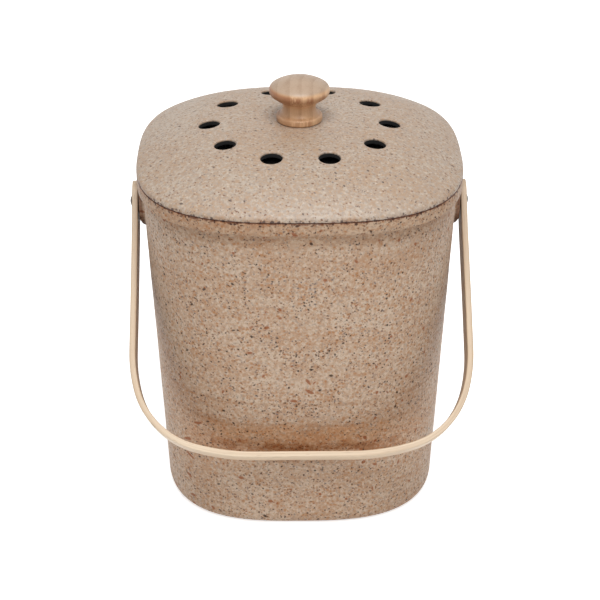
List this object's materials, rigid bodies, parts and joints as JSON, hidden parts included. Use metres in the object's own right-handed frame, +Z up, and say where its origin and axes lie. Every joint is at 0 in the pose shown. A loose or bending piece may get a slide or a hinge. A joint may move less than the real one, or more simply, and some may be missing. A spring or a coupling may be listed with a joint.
{
  "type": "compost caddy",
  "caption": "Tapered countertop compost caddy with a lift-off vented dome lid, turned wooden knob, charcoal filter tray and swinging strip bail.",
  "frame": {"origin": "middle of the flat base, on the surface the caddy stands on", "axes": "+Z up, +X to the right along the bail's pivot axis, the bail hangs towards -Y (the front)"},
  "size_m": [0.2008, 0.1975, 0.2549],
  "materials": {
    "bin_composite": "speckled tan bamboo-fibre composite, moulded, soft satin",
    "lid_composite": "speckled tan bamboo-fibre composite, a little paler than the bin, soft satin",
    "knob_wood": "turned beech, sealed, grain upright",
    "bail_wood": "pale bent bamboo strip, lightly sealed",
    "pivot_steel": "dark bronze-coloured steel",
    "steel": "zinc-plated steel",
    "spacer_nylon": "black nylon",
    "insert_brass": "turned brass",
    "filter_charcoal": "activated-charcoal felt",
    "tray_plastic": "dark grey-brown moulded plastic"
  },
  "bodies": {
    "bin": {"bin_body": "bin_composite", "pivot_screw_left": "pivot_steel", "pivot_screw_right": "pivot_steel", "spacer_washer_left": "spacer_nylon", "spacer_washer_right": "spacer_nylon", "inner_washer_left": "steel", "inner_washer_right": "steel", "cap_nut_left": "steel", "cap_nut_right": "steel"},
    "lid_set": {"lid": "lid_composite", "knob": "knob_wood", "knob_insert": "insert_brass", "knob_screw": "steel", "knob_washer": "steel"},
    "filter_set": {"filter_tray": "tray_plastic", "charcoal_filter": "filter_charcoal"},
    "bail_strip": {"bail": "bail_wood"}
  },
  "joints": [
    {"name": "lid_lift", "type": "slide", "parent": "bin", "child": "lid_set", "axis": [0, 0, 1], "range_m": [0, 0.25]},
    {"name": "tray_drop", "type": "slide", "parent": "lid_set", "child": "filter_set", "axis": [0, 0, -1], "range_m": [0, 0.05]},
    {"name": "bail_swing", "type": "hinge", "parent": "bin", "child": "bail_strip", "pos_m": [0, 0, 0.1775], "axis": [-1, 0, 0], "range_deg": [0, 284]}
  ]
}
